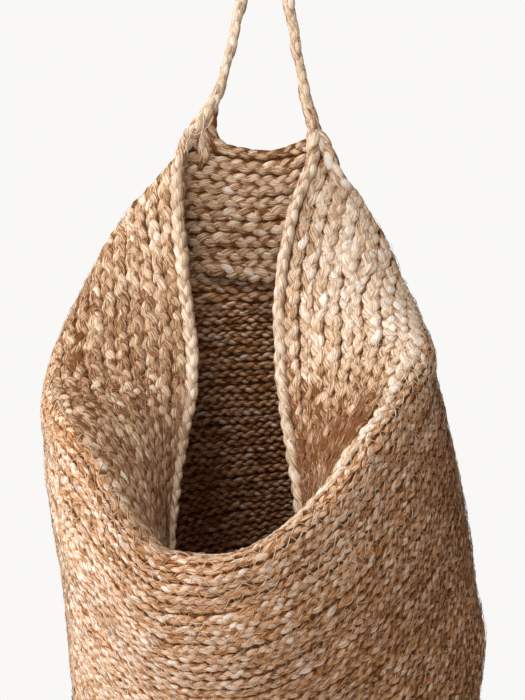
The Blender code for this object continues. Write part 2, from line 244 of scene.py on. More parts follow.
def closed_course(course):
    """One course as a smooth closed loop with even steps from the middle of the back."""
    path = rounded_loop(course_stations(course), steps_between_stations)
    for _ in range(course_rounds):
        path = 0.25 * np.roll(path, 1, 0) + 0.5 * path + 0.25 * np.roll(path, -1, 0)
    steps = np.linalg.norm(np.roll(path, -1, 0) - path, axis=1)
    way = np.concatenate([[0], np.cumsum(steps)])
    wanted = np.linspace(0, way[-1], wall_columns, endpoint=False)
    return resampled(np.vstack([path, path[:1]]), way, wanted)


course_of_row = np.arange(rows_per_course * total_courses + 1) / rows_per_course
rough_wall = eased(np.array([closed_course(course) for course in course_of_row]), column_rounds)

# Even courses down each column: the cuff's over their length, the body's over theirs
down_way = np.zeros(rough_wall.shape[:2])
down_way[1:] = np.cumsum(np.linalg.norm(rough_wall[1:] - rough_wall[:-1], axis=2), 0)
wall_middle = np.empty_like(rough_wall)
for column in range(wall_columns):
    to_lip = down_way[rows_per_course * cuff_courses, column]
    to_foot = down_way[-1, column]
    way = np.where(
        course_of_row <= cuff_courses,
        to_lip * course_of_row / cuff_courses,
        to_lip + (to_foot - to_lip) * (course_of_row - cuff_courses) / body_courses,
    )
    wall_middle[:, column] = resampled(rough_wall[:, column], down_way[:, column], way)

# The wall bellies out on the right a little above the foot
belly_reach = 0.0075
belly_course = 45.0
belly_courses = 3.6
belly_way = 0.745
belly_ways = 0.075
column_way = np.arange(wall_columns) / wall_columns
wall_middle[:, :, 0] += belly_reach * (
    np.exp(-((course_of_row - belly_course) / belly_courses) ** 2)[:, None]
    * np.exp(-((column_way - belly_way) / belly_ways) ** 2)[None]
)

# From the roots' frame to the hanging frame, whose origin is under the strap's top
root_point = wall_middle[0, int(left_root_share * wall_columns)]
strap_seat = rim_braid_radius + seat_gap + strap_end_share * strap_radius
hinge = np.array([0, root_point[1], root_point[2] + strap_seat])
hinge_drop = handle_height - strap_radius
turn = np.array([
    [1, 0, 0],
    [0, math.cos(hang_angle), -math.sin(hang_angle)],
    [0, math.sin(hang_angle), math.cos(hang_angle)],
])
hang_shift = np.array([-hook_side_share * basket_radius, 0, -hinge_drop])


def hung(point):
    return (np.asarray(point) - hinge) @ turn.T + hang_shift


wall_middle = hung(wall_middle)
wall_along = unit((np.roll(wall_middle, -1, 1) - np.roll(wall_middle, 1, 1)) / 2)
wall_down = np.gradient(wall_middle, axis=0) * rows_per_course
wall_out = np.cross(wall_down, wall_along)
wall_pitch = np.linalg.norm(wall_out, axis=2, keepdims=True)
wall_grid = np.concatenate([wall_middle, wall_along, wall_out / wall_pitch, wall_pitch], 2)

chance = np.random.default_rng(7)
wave_rows = 32
wave_columns = 52
wave_marks = chance.normal(0, 1, (wave_rows, wave_columns))
wave_height = 0.15
calm_edge_courses = 2.5


def softened(mix):
    return mix * mix * (3 - 2 * mix)


def read_grid(grid, way, row, soft):
    """Values between the rows and columns of a grid whose columns go round the basket."""
    columns = grid.shape[1]
    column = (way % 1) * columns
    c0 = column.astype(int) % columns
    c1 = (c0 + 1) % columns
    r0 = row.astype(int)
    u = column - column.astype(int)
    v = row - r0
    if soft:
        u, v = softened(u), softened(v)
    if grid.ndim == 3:
        u, v = u[:, None], v[:, None]
    return (
        grid[r0, c0] * (1 - u) * (1 - v) + grid[r0, c1] * u * (1 - v)
        + grid[r0 + 1, c0] * (1 - u) * v + grid[r0 + 1, c1] * u * v
    )


def wave(way, course):
    """How far the courses wander from even rows, in shares of a course."""
    row = np.clip(course / total_courses, 0, 1) * (wave_rows - 1.001)
    calm = np.clip(np.minimum(course, total_courses - course) / calm_edge_courses, 0, 1)
    return wave_height * read_grid(wave_marks, way, row, True) * calm


def wall_place(way, course):
    """Middle of the wall, along, outward and course pitch, at shares round and courses."""
    spread = 1 + wave(way, course + 0.5) - wave(way, course - 0.5)
    course = course + wave(way, course)
    row = np.clip(course * rows_per_course, 0, len(wall_grid) - 1.001)
    found = read_grid(wall_grid, way, row, False)
    along = unit(found[:, 3:6])
    out = unit(found[:, 6:9] - along * np.sum(found[:, 6:9] * along, 1)[:, None])
    return found[:, :3], along, out, found[:, 9] * spread


# Painted shade in the gaps. A thin sheet, painted dark as the shade deep between the
# sewn plaits, closes the gaps between them. It is one thin layer in the middle of the
# cuff and of the body, and shows only in the gaps between the plaits.
hank_grain = (38, 2.2, 2.2)
hank_streaks = 0.20
fibre_grain = (75, 5.0, 5.0)


def hemp_finish(name, dark, middle, light, streaks):
    """Dry hemp: matt fibres with fine grooves, streaked from straw to light brown."""
    made = bpy.data.materials.new(name)
    made.use_nodes = True
    nodes = made.node_tree.nodes
    links = made.node_tree.links
    shader = nodes["Principled BSDF"]
    shader.inputs["Roughness"].default_value = 0.7
    shader.inputs["Specular IOR Level"].default_value = 0.18
    shader.inputs["Sheen Weight"].default_value = 0.03
    shader.inputs["Sheen Roughness"].default_value = 0.5
    fibre = nodes.new("ShaderNodeAttribute")
    fibre.attribute_name = "fibre_run"
    tone = nodes.new("ShaderNodeAttribute")
    tone.attribute_name = "tone"
    total = tone.outputs["Fac"]
    for grain, detail, reach in ((hank_grain, 2, hank_streaks), (fibre_grain, 3, streaks)):
        scaled = nodes.new("ShaderNodeVectorMath")
        scaled.operation = "MULTIPLY"
        scaled.inputs[1].default_value = grain
        links.new(fibre.outputs["Vector"], scaled.inputs[0])
        streak = nodes.new("ShaderNodeTexNoise")
        streak.inputs["Scale"].default_value = 1.0
        streak.inputs["Detail"].default_value = detail
        streak.inputs["Roughness"].default_value = 0.6
        links.new(scaled.outputs[0], streak.inputs["Vector"])
        spread = nodes.new("ShaderNodeMapRange")
        spread.inputs["From Min"].default_value = 0.3
        spread.inputs["From Max"].default_value = 0.7
        spread.inputs["To Min"].default_value = -reach
        spread.inputs["To Max"].default_value = reach
        links.new(streak.outputs["Fac"], spread.inputs["Value"])
        added = nodes.new("ShaderNodeMath")
        added.operation = "ADD"
        links.new(total, added.inputs[0])
        links.new(spread.outputs["Result"], added.inputs[1])
        total = added.outputs[0]
    ramp = nodes.new("ShaderNodeValToRGB")
    ramp.color_ramp.elements[0].position = 0.0
    ramp.color_ramp.elements[0].color = (*dark, 1)
    ramp.color_ramp.elements[1].position = 1.0
    ramp.color_ramp.elements[1].color = (*light, 1)
    between = ramp.color_ramp.elements.new(0.45)
    between.color = (*middle, 1)
    links.new(total, ramp.inputs["Fac"])
    links.new(ramp.outputs["Color"], shader.inputs["Base Color"])
    bump = nodes.new("ShaderNodeBump")
    bump.inputs["Strength"].default_value = 0.9
    bump.inputs["Distance"].default_value = 0.0006
    links.new(streak.outputs["Fac"], bump.inputs["Height"])
    links.new(bump.outputs["Normal"], shader.inputs["Normal"])
    return made


def laid_mesh(name, points, faces, fibre, tone, finish):
    """One mesh with the run and the tone of its fibres stored on its points."""
    points = np.concatenate(points).astype(np.float32)
    faces = np.concatenate(faces).astype(np.int32)
    mesh = bpy.data.meshes.new(name)
    mesh.vertices.add(len(points))
    mesh.vertices.foreach_set("co", points.ravel())
    mesh.loops.add(faces.size)
    mesh.loops.foreach_set("vertex_index", faces.ravel())
    mesh.polygons.add(len(faces))
    mesh.polygons.foreach_set("loop_start", np.arange(0, faces.size, 4, dtype=np.int32))
    mesh.update()
    mesh.polygons.foreach_set("use_smooth", np.ones(len(faces), bool))
    run = mesh.attributes.new("fibre_run", "FLOAT_VECTOR", "POINT")
    run.data.foreach_set("vector", np.concatenate(fibre).astype(np.float32).ravel())
    shade = mesh.attributes.new("tone", "FLOAT", "POINT")
    shade.data.foreach_set("value", np.concatenate(tone).astype(np.float32))
    mesh.validate()
    made = bpy.data.objects.new(name, mesh)
    bpy.context.scene.collection.objects.link(made)
    made.data.materials.append(finish)
    return made


def sleeve_faces(rings, sides, closed):
    """Four-sided faces from ring to ring, and from the last to the first if closed."""
    row = np.arange(rings if closed else rings - 1)[:, None]
    nxt = (row + 1) % rings
    col = np.arange(sides)
    beside = (col + 1) % sides
    corners = (row * sides + col, row * sides + beside, nxt * sides + beside, nxt * sides + col)
    return np.stack(corners, 2).reshape(-1, 4)


gap_shade_hemp = hemp_finish(
    "gap_shade_hemp", (0.07, 0.028, 0.009), (0.14, 0.062, 0.024), (0.24, 0.12, 0.052), 0.66
)
gap_shade_columns = 240
gap_shade_rows_per_course = 2
gap_shade_grain = 3


def lay_gap_shade(name, points, columns, node):
    sheet = laid_mesh(
        name, [points], [sleeve_faces(len(points) // columns, columns, False)],
        [points * gap_shade_grain], [np.full(len(points), 0.5)], gap_shade_hemp,
    )
    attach(sheet, "basket")
    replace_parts(sheet, node)


def shade_wall_gaps(name, first_course, last_course, node):
    rows = int(gap_shade_rows_per_course * (last_course - first_course)) + 1
    ways = np.linspace(0, 1, gap_shade_columns, endpoint=False)
    lay_gap_shade(name, np.concatenate([
        wall_place(ways, np.full(gap_shade_columns, course))[0]
        for course in np.linspace(first_course, last_course, rows)
    ]), gap_shade_columns, node)


shade_wall_gaps("cuff_gap_shade", 0.25, 10.8, "upper_cuff")
shade_wall_gaps("wall_gap_shade", 10.8, 51.8, "lower_wall")

# Base coil. The maker starts with a three-strand plait of dry hemp, winds it flat
# from the middle out and sews each turn to the one before. The same thin plait goes
# on up the body.
strand_twist = 70
strand_ridges = 0.07
hank_length = 50
full_turn = 6.28


def drift(count, span, size):
    """A smooth uneven run of values, as hand work has, over count places."""
    marks = chance.normal(0, size, max(int(count / span) + 3, 4))
    place = np.linspace(0, len(marks) - 1.001, count)
    low = place.astype(int)
    mix = softened(place - low)
    return marks[low] * (1 - mix) + marks[low + 1] * mix


def strand_mesh(centre, side, up, side_radius, up_radius, sides, closed):
    """Points and faces of one strand, and the run of its fibres for the finish."""
    angle = np.linspace(0, 2 * math.pi, sides, endpoint=False)
    ridge = 1 + chance.normal(0, strand_ridges, sides)
    ring = (
        side[:, None] * ((np.cos(angle) * ridge)[None, :, None] * side_radius[:, None, None])
        + up[:, None] * ((np.sin(angle) * ridge)[None, :, None] * up_radius[:, None, None])
    )
    points = (centre[:, None] + ring).reshape(-1, 3)
    steps = np.linalg.norm(np.diff(centre, axis=0), axis=1)
    run = np.concatenate([[0], np.cumsum(steps)])
    twist = run * strand_twist + chance.uniform(0, full_turn)
    fibre = np.stack([
        np.repeat(run + chance.uniform(0, hank_length), sides),
        np.cos(angle[None, :] + twist[:, None]).ravel(),
        np.sin(angle[None, :] + twist[:, None]).ravel(),
    ], 1)
    return points, sleeve_faces(len(centre), sides, closed), fibre


class Bundle:
    """Strands gathered for one piece."""

    def __init__(self):
        self.points, self.faces, self.fibre, self.tone = [], [], [], []
        self.count = 0

    def add(self, points, faces, fibre, tone):
        self.points.append(points)
        self.faces.append(faces + self.count)
        self.fibre.append(fibre)
        self.tone.append(tone)
        self.count += len(points)

    def piece(self, name, finish, body, node):
        made = laid_mesh(
            name, self.points, self.faces, self.fibre, self.tone, finish
        )
        if body:
            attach(made, body)
        return made


leaf_spread = 0.12
odd_leaf = 0.26
pale_leaf_share = 0.04
dark_leaf_share = 0.035
leaf_blend = 6


def leaf_tones(beat):
    """The tone of each visible stretch of a strand, soft where it dives under."""
    leaf = beat / (math.pi / 2)
    low = np.floor(leaf).astype(int)
    low -= low.min()
    tones = chance.normal(0, leaf_spread, low.max() + 2)
    odd = chance.uniform(0, 1, len(tones))
    darker = np.where(odd > 1 - dark_leaf_share, tones - odd_leaf, tones)
    tones = np.where(odd < pale_leaf_share, tones + odd_leaf, darker)
    mix = np.clip((leaf - np.floor(leaf) - 1) * leaf_blend + 1, 0, 1)
    return tones[low] * (1 - mix) + tones[low + 1] * mix


# How a plait is drawn, in shares of its width: how far its strands swing across and
# out, their half width and half height, and the level that sewing presses them to.
# The last two are how uneven the hand work is and how much painted shade lies in the creases.
wall_form = (0.25, 0.12, 0.30, 0.26, 0.22, 1.25, 1.3)
crush = 0.35
hidden_side_level = 1.5
crease_shade_sharpness = 1.8
dive_shade = 0.40
bump_swell = 0.11
mean_bump = 0.6
plump_spread = 0.05
squeeze_power = 0.7
calm_end_turns = 1.5
# Drifts of the hand work: how many turns each one lasts, and how far it goes
pace_drift = (1.3, 0.42)
sway_drift = (1.1, 0.035)
width_drift = (2.0, 0.06)
reach_drift = (0.7, 0.10)
plump_drift = (0.4, 0.08)
tone_turns = 3
tone_reach = 0.06


def plait(middle, along, out, width, make, pale, closed):
    """Strands of one three-strand plait along a path.

    make holds the length of one bump, the sides of a strand, the rings in each turn,
    and the form.
    """
    leaf, sides, rings, (wander, rise, side_share, up_share, pressed, uneven, crease_shade) = make
    if closed:
        middle, along, out, width = (
            np.concatenate([line, line[:1]]) for line in (middle, along, out, width)
        )
    steps = np.linalg.norm(np.diff(middle, axis=0), axis=1)
    run = np.concatenate([[0], np.cumsum(steps)])
    # Where the courses draw together the bumps are shorter as well as narrower
    step_width = (width[:-1] + width[1:]) / 2
    pace = (step_width.mean() / step_width) ** squeeze_power
    beats = np.concatenate([[0], np.cumsum(steps * pace)])
    turns = max(round(run[-1] / (3 * leaf)), 1)
    count = turns * rings
    share = np.linspace(0, 1, count, endpoint=not closed)
    wanted = np.interp(share * beats[-1], beats, run)
    centre, forward, outward = (resampled(line, run, wanted) for line in (middle, along, out))
    forward = unit(forward)
    outward = unit(outward - forward * np.sum(forward * outward, 1)[:, None])
    across = np.cross(outward, forward)
    fade = np.ones(count)
    if closed:
        edge = np.minimum(np.arange(count), np.arange(count)[::-1]) / (calm_end_turns * rings)
        fade = np.clip(edge, 0, 1)

    def handwork(kind, strength):
        turns_long, amount = kind
        return drift(count, rings * turns_long, amount * strength) * fade

    phase = 2 * math.pi * turns * share + handwork(pace_drift, uneven)
    phase = phase + chance.uniform(0, 2 * math.pi)
    sway = handwork(sway_drift, uneven)
    size = np.interp(wanted, run, width) * (1 + handwork(width_drift, uneven))
    strands = []
    for strand in range(3):
        beat = phase + 2 * math.pi * strand / 3
        reach = wander * (1 + handwork(reach_drift, 1))
        place = (
            centre
            + across * (size * (reach * np.sin(beat) + sway))[:, None]
            + outward * (size * rise * np.sin(2 * beat))[:, None]
        )
        heading = np.gradient(place, axis=0)
        if closed:
            heading[0] = place[1] - place[-1]
            heading[-1] = place[0] - place[-2]
        heading = unit(heading)
        side = unit(np.cross(outward, heading))
        up = np.cross(heading, side)
        swell = 1 + bump_swell * (np.abs(np.sin(2 * beat)) - mean_bump)
        plump = swell * (1 + chance.normal(0, plump_spread) + handwork(plump_drift, 1))
        points, faces, fibre = strand_mesh(
            place, side, up, size * side_share * plump, size * up_share * plump, sides, closed
        )
        face = np.repeat(outward, sides, 0)
        stands = np.sum((points - np.repeat(centre, sides, 0)) * face, 1)
        high = np.abs(stands)
        level = np.repeat(size * pressed, sides) * np.where(stands > 0, 1, hidden_side_level)
        flat = np.where(high > level, level + crush * (high - level), high)
        points = points + face * (np.sign(stands) * flat - stands)[:, None]
        lift = np.clip(flat / level, 0, 1)
        tone = pale + leaf_tones(beat) * uneven + drift(count, rings * tone_turns, tone_reach)
        # Painted shade in the creases: darker where a strand dives under the others, and where its
        # points lie low between the strands.
        tone = tone - dive_shade * crease_shade * (1 - np.abs(np.sin(2 * beat))) ** 3
        tone = np.repeat(tone, sides) - crease_shade * (1 - lift) ** crease_shade_sharpness
        strands.append((points, faces, fibre, tone))
    return strands


def open_plait(name, middle, along, out, width, make, pale, finish, body, node):
    """A piece of plait with two ends."""
    bundle = Bundle()
    for strand in plait(middle, along, out, width, make, pale, False):
        bundle.add(*strand)
    return bundle.piece(name, finish, body, node)


body_hemp = hemp_finish(
    "body_hemp", (0.155, 0.049, 0.012), (0.64, 0.308, 0.115), (0.89, 0.79, 0.69), 0.56
)
thin_pitch = 0.0080
thin_leaf = 0.0098
base_make = (thin_leaf, 7, 13, wall_form)
base_overlap = 1.03
coil_turns = int(basket_radius / thin_pitch)
coil_pitch = (basket_radius + wall_thickness / 2) / coil_turns
coil_start = 0.72
coil_halfway = 14.5
coil_step = 0.004
coil_side, coil_forward, coil_out = (
    axis @ turn.T for axis in (base_side, base_forward, base_normal)
)


def on_base(angle, reach):
    return (
        hung(base_centre)
        + (np.cos(angle) * reach)[:, None] * coil_side
        + (np.sin(angle) * reach)[:, None] * coil_forward
    )


# Under the base coil lies the same dark sheet, painted shade in the gaps between its turns.
disc_rings = 40
disc_columns = 120
disc_edge = 0.002
disc_angle = 2 * math.pi * np.linspace(0, 1, disc_columns, endpoint=False)
disc_reach = np.linspace(disc_edge, basket_radius - disc_edge, disc_rings)
disc = on_base(np.tile(disc_angle, disc_rings), np.repeat(disc_reach, disc_columns))
lay_gap_shade("base_gap_shade", disc, disc_columns, "base_coil")

for part, (first_turn, last_turn) in enumerate(
    ((coil_start, coil_halfway), (coil_halfway, coil_turns))
):
    turn_at = np.arange(first_turn, last_turn, coil_step)
    middle = on_base(2 * math.pi * turn_at, coil_pitch * (turn_at - 0.5))
    made = open_plait(
        f"base_coil_{part + 1}", middle, unit(np.gradient(middle, axis=0)),
        np.broadcast_to(coil_out, middle.shape), np.full(len(middle), coil_pitch * base_overlap),
        base_make, 0.50, body_hemp, "basket", "base_coil",
    )
    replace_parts(made, "base_coil")

# Body wall. The thin plait climbs from the base in about 41 courses, each sewn to
# the one below, up to the lip. Strands differ in tone from bump to bump, because
# each is a bundle of unbleached fibres.
course_steps = 900
course_tone_spread = 0.03
fold_widening = 0.20
back_dark = 0.07
lip_fade_courses = 10
right_lip_light = 0.25
lip_dark = 0.02
right_edge_shade = 0.12
back_lip_pale = 0.14
cuff_back_shade = 0.11
deep_shade = 0.36
deep_shade_right = 0.34
right_top_light = 0.5


def passed(value, start, span):
    """0 up to the start, 1 from a span beyond it, and even between."""
    return np.clip((value - start) / span, 0, 1)


def body_shade(course, facing, sidewise, side_light):
    """Painted light and shade on the body: to the right, at the right edge, and near the lip."""
    low = min((course - cuff_courses) / lip_fade_courses, 1)
    return (
        side_light * low * facing * sidewise
        + (1 - low) * (right_lip_light * np.clip(sidewise, 0, 1) - lip_dark) * facing
        - right_edge_shade * passed(sidewise, 0.8, 0.2)
        + back_lip_pale * (1 - low) * (1 - facing)
    )


def cuff_shade(course, facing, sidewise, side_light):
    """Painted light and shade across the cuff, paler to the right, and painted shade lower down its
    back.
    """
    return side_light * facing * sidewise - cuff_back_shade * passed(course, 4, 6) * (1 - facing)


def inner_shade_and_light(tone, points, facing):
    """The cuff inside the mouth: painted shade low down, deepest on the right, and painted light
    high on the right.
    """
    x, z = points[:, 0], points[:, 2]
    deep = passed(-z, 0.35, 0.09)
    tone = tone - (deep_shade + deep_shade_right * np.clip(x / 0.06, -1, 1)) * deep
    lit_share = right_top_light * passed(z, -0.34, 0.10) * facing * passed(x, 0.02, 0.03)
    return tone * (1 - lit_share) + lit_share


def lay_courses(name, courses, pitch_share, make, pale, side_light, finish, node):
    """Whole courses of one plait. Their sixth argument paints light and shade to the right: the
    right front is painted paler by it, and darker when it is below 0.
    """
    bundle = Bundle()
    around = np.linspace(0, 1, course_steps, endpoint=False)
    for course in courses:
        middle, along, out, pitch = wall_place(around, np.full(course_steps, course))
        course_pale = pale + chance.normal(0, course_tone_spread)
        fold = 1 + fold_widening * max(0, 1 - abs(course - cuff_courses))
        shade = body_shade if course > cuff_courses else cuff_shade
        for points, faces, fibre, tone in plait(
            middle, along, out, pitch * pitch_share * fold, make, course_pale, True
        ):
            facing = passed(-points[:, 1], -0.02, 0.06)
            tone = tone + shade(course, facing, points[:, 0] / basket_radius, side_light)
            # Painted shade of the recessed back, with browner hemp there: the back half of the wall
            # is darker.
            tone = tone - back_dark * (1 - facing)
            if course < cuff_courses - 1:
                tone = inner_shade_and_light(tone, points, facing)
            bundle.add(points, faces, fibre, tone)
    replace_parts(bundle.piece(name, finish, "basket", node), node)


thin_make = (thin_leaf, 8, 13, wall_form)
thick_lip_courses = 2
courses_in_group = 7
first_body_course = cuff_courses + thick_lip_courses + 0.5
body_course_list = [first_body_course + step for step in range(body_courses - thick_lip_courses)]
# The body courses are painted darker on the right, as painted shade.
for group in range(6):
    chosen = body_course_list[group * courses_in_group:(group + 1) * courses_in_group]
    lay_courses(
        f"body_wall_courses_{group + 1}", chosen, 1.0, thin_make, 0.60, -0.245, body_hemp,
        "lower_wall",
    )

# Turned cuff. The top courses are of a thicker, paler plait. At the front and sides
# they hang inward behind the lip, outer face up, and only at the back do they stand
# upright. Two broad courses are laid over the lip itself.
cuff_hemp = hemp_finish(
    "cuff_hemp", (0.16, 0.055, 0.014), (0.61, 0.405, 0.245), (0.88, 0.81, 0.73), 0.46
)
thick_leaf = 0.0134
cuff_form = (0.25, 0.12, 0.345, 0.26, 0.19, 0.9, 1.05)
thick_make = (thick_leaf, 10, 16, cuff_form)
lip_make = (0.0118, 10, 16, wall_form)
cuff_rings = 11
cuff_spacing = (cuff_courses - 0.5) / (cuff_rings - 1)
cuff_course_list = [cuff_spacing * step for step in range(cuff_rings)]
# The cuff courses are painted paler on the right, as painted light.
lay_courses(
    "cuff_courses_1", cuff_course_list[1:6], cuff_spacing, thick_make, 0.53, 0.38, cuff_hemp,
    "upper_cuff",
)
lay_courses(
    "cuff_courses_2", cuff_course_list[6:], cuff_spacing, thick_make, 0.52, 0.28, cuff_hemp,
    "upper_cuff",
)
lip_course_list = [cuff_courses + step + 0.5 for step in range(thick_lip_courses)]
# The lip courses are painted darker on the right, as painted shade.
lay_courses(
    "lip_courses", lip_course_list, 1.0, lip_make, 0.47, -0.20, body_hemp, "lower_wall"
)

# Strap loop and rim. The last course of the thick plait edges the mouth from root to
# root. There it rises off the wall and goes on as the strap, drawn tight and round,
# over the hook and down to the other root, so strap and rim are one endless plait.
strap_shares = (
    (-0.345, 0.000),
    (-0.322, 0.032),
    (-0.273, 0.110),
    (-0.230, 0.190),
    (-0.172, 0.380),
    (-0.102, 0.720),
    (-0.063, 0.895),
    (-0.040, 0.960),
    (-0.011, 0.992),
    (0.020, 1.000),
    (0.052, 0.992),
    (0.080, 0.960),
    (0.102, 0.895),
    (0.129, 0.720),
    (0.178, 0.400),
    (0.215, 0.190),
    (0.238, 0.085),
    (0.252, 0.000),
)
# Width of the plait at heights above the roots, from the rim up to the loop's top
width_heights = (-0.02, 0.0, 0.012, 0.03, 0.045, 0.065, 0.09, 0.13)
loop_widths = (0.0126, 0.0130, 0.0132, 0.0112, 0.0094, 0.0088, 0.0102, 0.0114)
loop_make = (0.0150, 12, 20, (0.17, 0.10, 0.30, 0.33, 0.40, 0.6, 0.5))
loop_sides = loop_make[1]
rim_way_ends = (0.062, 0.944)
rim_count = 260
rim_stride = 4
loop_steps = 10
rim_pale = 0.06
left_run_light = 0.10
right_run_shade = 0.16
root_reach = 0.016
strap_hemp = hemp_finish(
    "strap_hemp", (0.21, 0.090, 0.036), (0.62, 0.45, 0.305), (0.86, 0.79, 0.70), 0.40
)

strap_knots = np.array([(side * basket_radius, 0, up * handle_height) for side, up in strap_shares])
strap_count = len(strap_knots)
rim_middle, _, rim_out, _ = wall_place(np.linspace(*rim_way_ends, rim_count), np.zeros(rim_count))
loop_knots = np.concatenate([(strap_knots + hang_shift)[::-1], rim_middle[::rim_stride]])
loop_line = rounded_loop(loop_knots, loop_steps)
loop_place = np.arange(len(loop_line)) / loop_steps
loop_along = unit(np.roll(loop_line, -1, 0) - np.roll(loop_line, 1, 0))
front = np.array([0.0, -1.0, 0.0])
rim_at = np.clip((loop_place - strap_count) * rim_stride, 0, rim_count - 1)
rim_face = resampled(-rim_out, range(rim_count), rim_at)
on_rim = np.minimum(loop_place - strap_count + 1, len(loop_knots) - loop_place)
on_rim = np.clip(on_rim, 0, 1)[:, None]
loop_out = front * (1 - on_rim) + rim_face * on_rim
loop_width = np.interp(loop_line[:, 2] + hinge_drop, width_heights, loop_widths)


def blend_at_root(made):
    """Bakes the piece's placement into its points, and leaves it on no body."""
    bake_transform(made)


strap, rim, left_root, right_root = Bundle(), Bundle(), Bundle(), Bundle()
above, below, across_hinge = range(3)
for points, faces, fibre, tone in plait(
    loop_line, loop_along, loop_out, loop_width, loop_make, 0.56, True
):
    on_strap = passed(points[:, 2], -hinge_drop, 0.03)
    right = passed(points[:, 0], 0, 0.02)
    # The strap's left run is painted paler, as painted light, and its right run darker, as painted
    # shade; the rim is paler than the strap.
    run_light = left_run_light - right_run_shade * right
    tone = tone + rim_pale * (1 - on_strap) + run_light * on_strap
    ring_middle = points.reshape(-1, loop_sides, 3).mean(1)
    ring_height = ring_middle[:, 2] + hinge_drop
    ring_zone = np.where(ring_height < -root_reach, below, across_hinge)
    ring_zone = np.where(ring_height > root_reach, above, ring_zone)
    first_ring, last_ring = faces[:, 0] // loop_sides, faces[:, 2] // loop_sides
    same_zone = ring_zone[first_ring] == ring_zone[last_ring]
    zone = np.where(same_zone, ring_zone[first_ring], across_hinge)
    left = ring_middle[first_ring, 0] < 0
    for bundle, chosen in (
        (strap, zone == above), (rim, zone == below),
        (left_root, (zone == across_hinge) & left), (right_root, (zone == across_hinge) & ~left),
    ):
        used, place = np.unique(faces[chosen], return_inverse=True)
        bundle.add(points[used], place.reshape(-1, 4), fibre[used], tone[used])
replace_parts(strap.piece("strap_loop", strap_hemp, "strap", "handle_loop"), "handle_loop")
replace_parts(rim.piece("rim_plait", strap_hemp, "basket", "rim_braid"), "rim_braid")
for side_name, bundle in (("left", left_root), ("right", right_root)):
    blend_at_root(bundle.piece(f"{side_name}_strap_root", strap_hemp, None, "handle_loop"))

# Back rim plait. A short stretch of the same plait closes the rim between the
# strap's roots. It sags a little in the middle and is sewn to the course below.
edge_make = (thick_leaf, 10, 16, wall_form)
back_way_ends = (-0.046, 0.053)
back_count = 90
back_overlap = 1.05
middle, along, out, pitch = wall_place(
    np.linspace(*back_way_ends, back_count), np.zeros(back_count)
)
made = open_plait(
    "back_rim_plait", middle, along, out, pitch * back_overlap, edge_make, 0.45, cuff_hemp,
    "basket", "back_rim_braid",
)
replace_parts(made, "back_rim_braid")

# Root gussets. At each root a short plait or two fills the corner between strap and
# rim: on the left one runs down the rim and one to the back rim, and on the right the
# top cuff course is drawn up to the strap. They are sewn to both.
gusset_count = 60
gusset_width = 0.0125
gusset_taper = np.interp(
    np.linspace(0, 1, gusset_count), (0, 0.4, 0.8, 1), (0.25, 1, 1, 0.35)
)


def drawn_line(places, count, rounds):
    """A smooth line through a few places."""
    places = np.asarray(places)
    step = np.linspace(0, len(places) - 1, count)
    return eased(resampled(places, range(len(places)), step), rounds)


# The two left gussets have a low paleness, as painted shade in the corner by the strap.
# Name, paleness, side of the wall and lift off it, then the upper end as places
# above the hinge, and the lower end as shares round the wall and courses
gussets = (
    ("left_root_gusset", 0.24, -1, 0.0018,
     ((-0.0400, 0.0, 0.044), (-0.0445, 0.0, 0.026), (-0.0515, 0.0, 0.010),
      (-0.0562, 0.0, -0.002)),
     ((0.0420, 0.3), (0.0450, 1.0), (0.0480, 2.0))),
    ("left_back_gusset", 0.22, -1, 0.0010,
     ((-0.0420, 0.0, 0.040), (-0.0462, 0.0, 0.022), (-0.0496, 0.001, 0.006),
      (-0.0478, 0.003, -0.004)),
     ((0.0310, 0.0), (0.0180, 0.1))),
    ("right_root_gusset", 0.66, 1, 0.0020,
     ((0.0335, -0.001, 0.036), (0.0368, -0.001, 0.018), (0.0420, -0.001, 0.001),
      (0.0500, 0.000, -0.014), (0.0570, 0.001, -0.026)),
     ((0.9260, 2.4), (0.9190, 3.4), (0.9130, 4.6))),
)
for name, pale, side_of_wall, lift, upper, lower in gussets:
    upper = np.array(upper) - (0, 0, hinge_drop)
    laid, _, laid_out, _ = wall_place(*np.array(lower).T)
    middle = drawn_line(
        np.vstack([upper, laid + laid_out * side_of_wall * lift]), gusset_count, 16
    )
    blend_at_root(open_plait(
        name, middle, unit(np.gradient(middle, axis=0)), np.broadcast_to(front, middle.shape),
        gusset_width * gusset_taper, edge_make, pale, cuff_hemp, None, "handle_loop",
    ))

# Thick plait's end. Where the thick plait meets the thin one, its end lies slantwise
# over the inside of the back wall and is sewn down. Its two ends taper off.
tail_shares = ((-0.018, 0.955), (0.004, 0.93), (0.024, 0.90), (0.044, 0.875))
tail_radius = 0.0046
tail_width = 0.0132
tail_make = (0.0128, 10, 18, wall_form)
tail_count = 60
tail_taper = np.interp(np.linspace(0, 1, tail_count), (0, 0.12, 0.88, 1), (0.4, 1, 1, 0.4))
tail_step = np.linspace(0, len(tail_shares) - 1, tail_count)
tail_way, tail_share = (
    np.interp(tail_step, range(len(tail_shares)), line) for line in zip(*tail_shares)
)
middle, along, out, _ = wall_place(tail_way, cuff_courses * tail_share)
middle = middle - out * (wall_thickness / 2 + tail_radius * 0.5)
made = open_plait(
    "thick_plait_end", middle, along, -out, tail_width * tail_taper, tail_make, 0.46, cuff_hemp,
    "basket", "thick_braid_tail",
)
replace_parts(made, "thick_braid_tail")

# Sewing thread. A fine pale thread joins each course to the next in a zigzag over
# the outer face. It bites into both plaits at its turns and lies taut between them.
thread_finish = hemp_finish(
    "sewing_thread", (0.30, 0.14, 0.05), (0.66, 0.44, 0.25), (0.93, 0.82, 0.67), 0.30
)
thread_radius = 0.00027
thread_sides = 3
